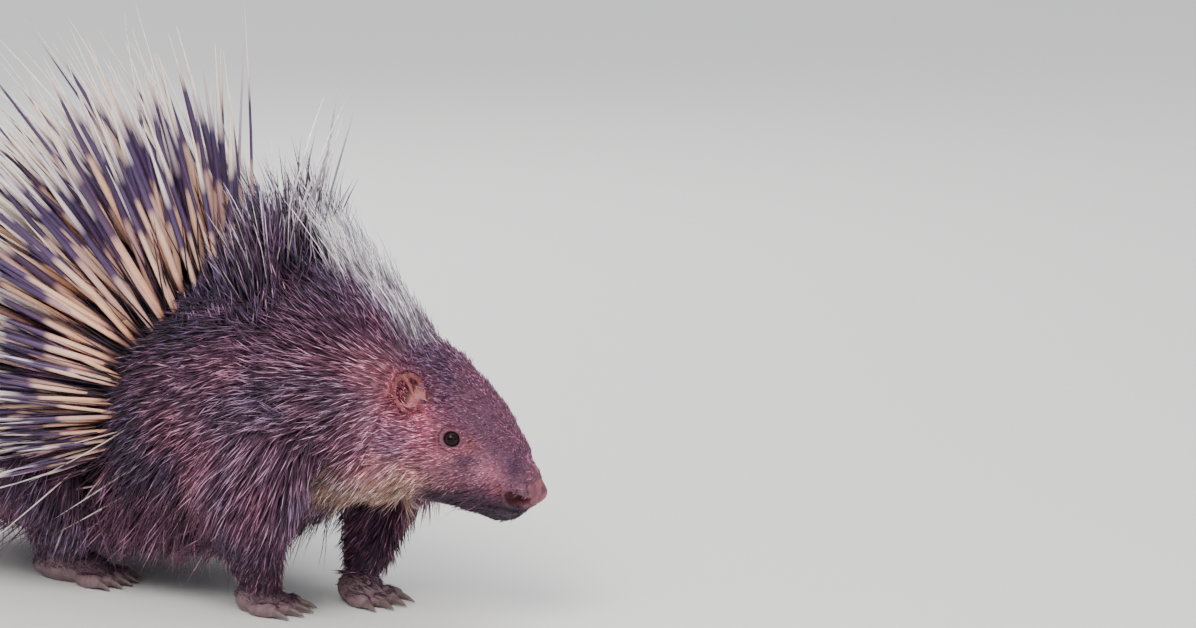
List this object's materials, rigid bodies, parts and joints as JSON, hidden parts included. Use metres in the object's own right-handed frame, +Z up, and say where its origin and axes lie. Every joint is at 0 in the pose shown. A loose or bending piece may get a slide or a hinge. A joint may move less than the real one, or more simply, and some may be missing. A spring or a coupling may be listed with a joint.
{
  "type": "porcupine",
  "caption": "Life-size still model of a walking porcupine with lowered head, banded back quills raised in a fan, bristly neck and legs, short crest, clawed feet.",
  "frame": {"origin": "on the floor, under the middle of the whole outline", "axes": "+X forwards along the trunk towards the head, +Y to the animal's left, +Z up"},
  "size_m": [0.6196, 0.3984, 0.4009],
  "materials": {
    "quills": "satin, banded cream, dark brown and white",
    "bristles": "coarse dark grizzled bristles with a dull sheen",
    "face": "short dense hair over pinkish skin",
    "ear_skin": "bare skin",
    "foot_skin": "bare folded skin",
    "eye": "wet gloss",
    "claw": "worn horn"
  },
  "bodies": {
    "root": {"ear_left": "ear_skin", "ear_right": "ear_skin", "eye_left": "eye", "eye_right": "eye", "front_foot_left": "foot_skin", "front_foot_left_claw_1": "claw", "front_foot_left_claw_2": "claw", "front_foot_left_claw_3": "claw", "front_foot_left_claw_4": "claw", "front_foot_right": "foot_skin", "front_foot_right_claw_1": "claw", "front_foot_right_claw_2": "claw", "front_foot_right_claw_3": "claw", "front_foot_right_claw_4": "claw", "front_leg_left": "bristles", "front_leg_right": "bristles", "head": "face", "hind_foot_left": "foot_skin", "hind_foot_left_claw_1": "claw", "hind_foot_left_claw_2": "claw", "hind_foot_left_claw_3": "claw", "hind_foot_left_claw_4": "claw", "hind_foot_left_claw_5": "claw", "hind_foot_right": "foot_skin", "hind_foot_right_claw_1": "claw", "hind_foot_right_claw_2": "claw", "hind_foot_right_claw_3": "claw", "hind_foot_right_claw_4": "claw", "hind_foot_right_claw_5": "claw", "hind_leg_left": "bristles", "hind_leg_right": "bristles", "jaw": "face", "neck": "bristles", "tail": "quills", "torso": "quills"}
  },
  "joints": []
}
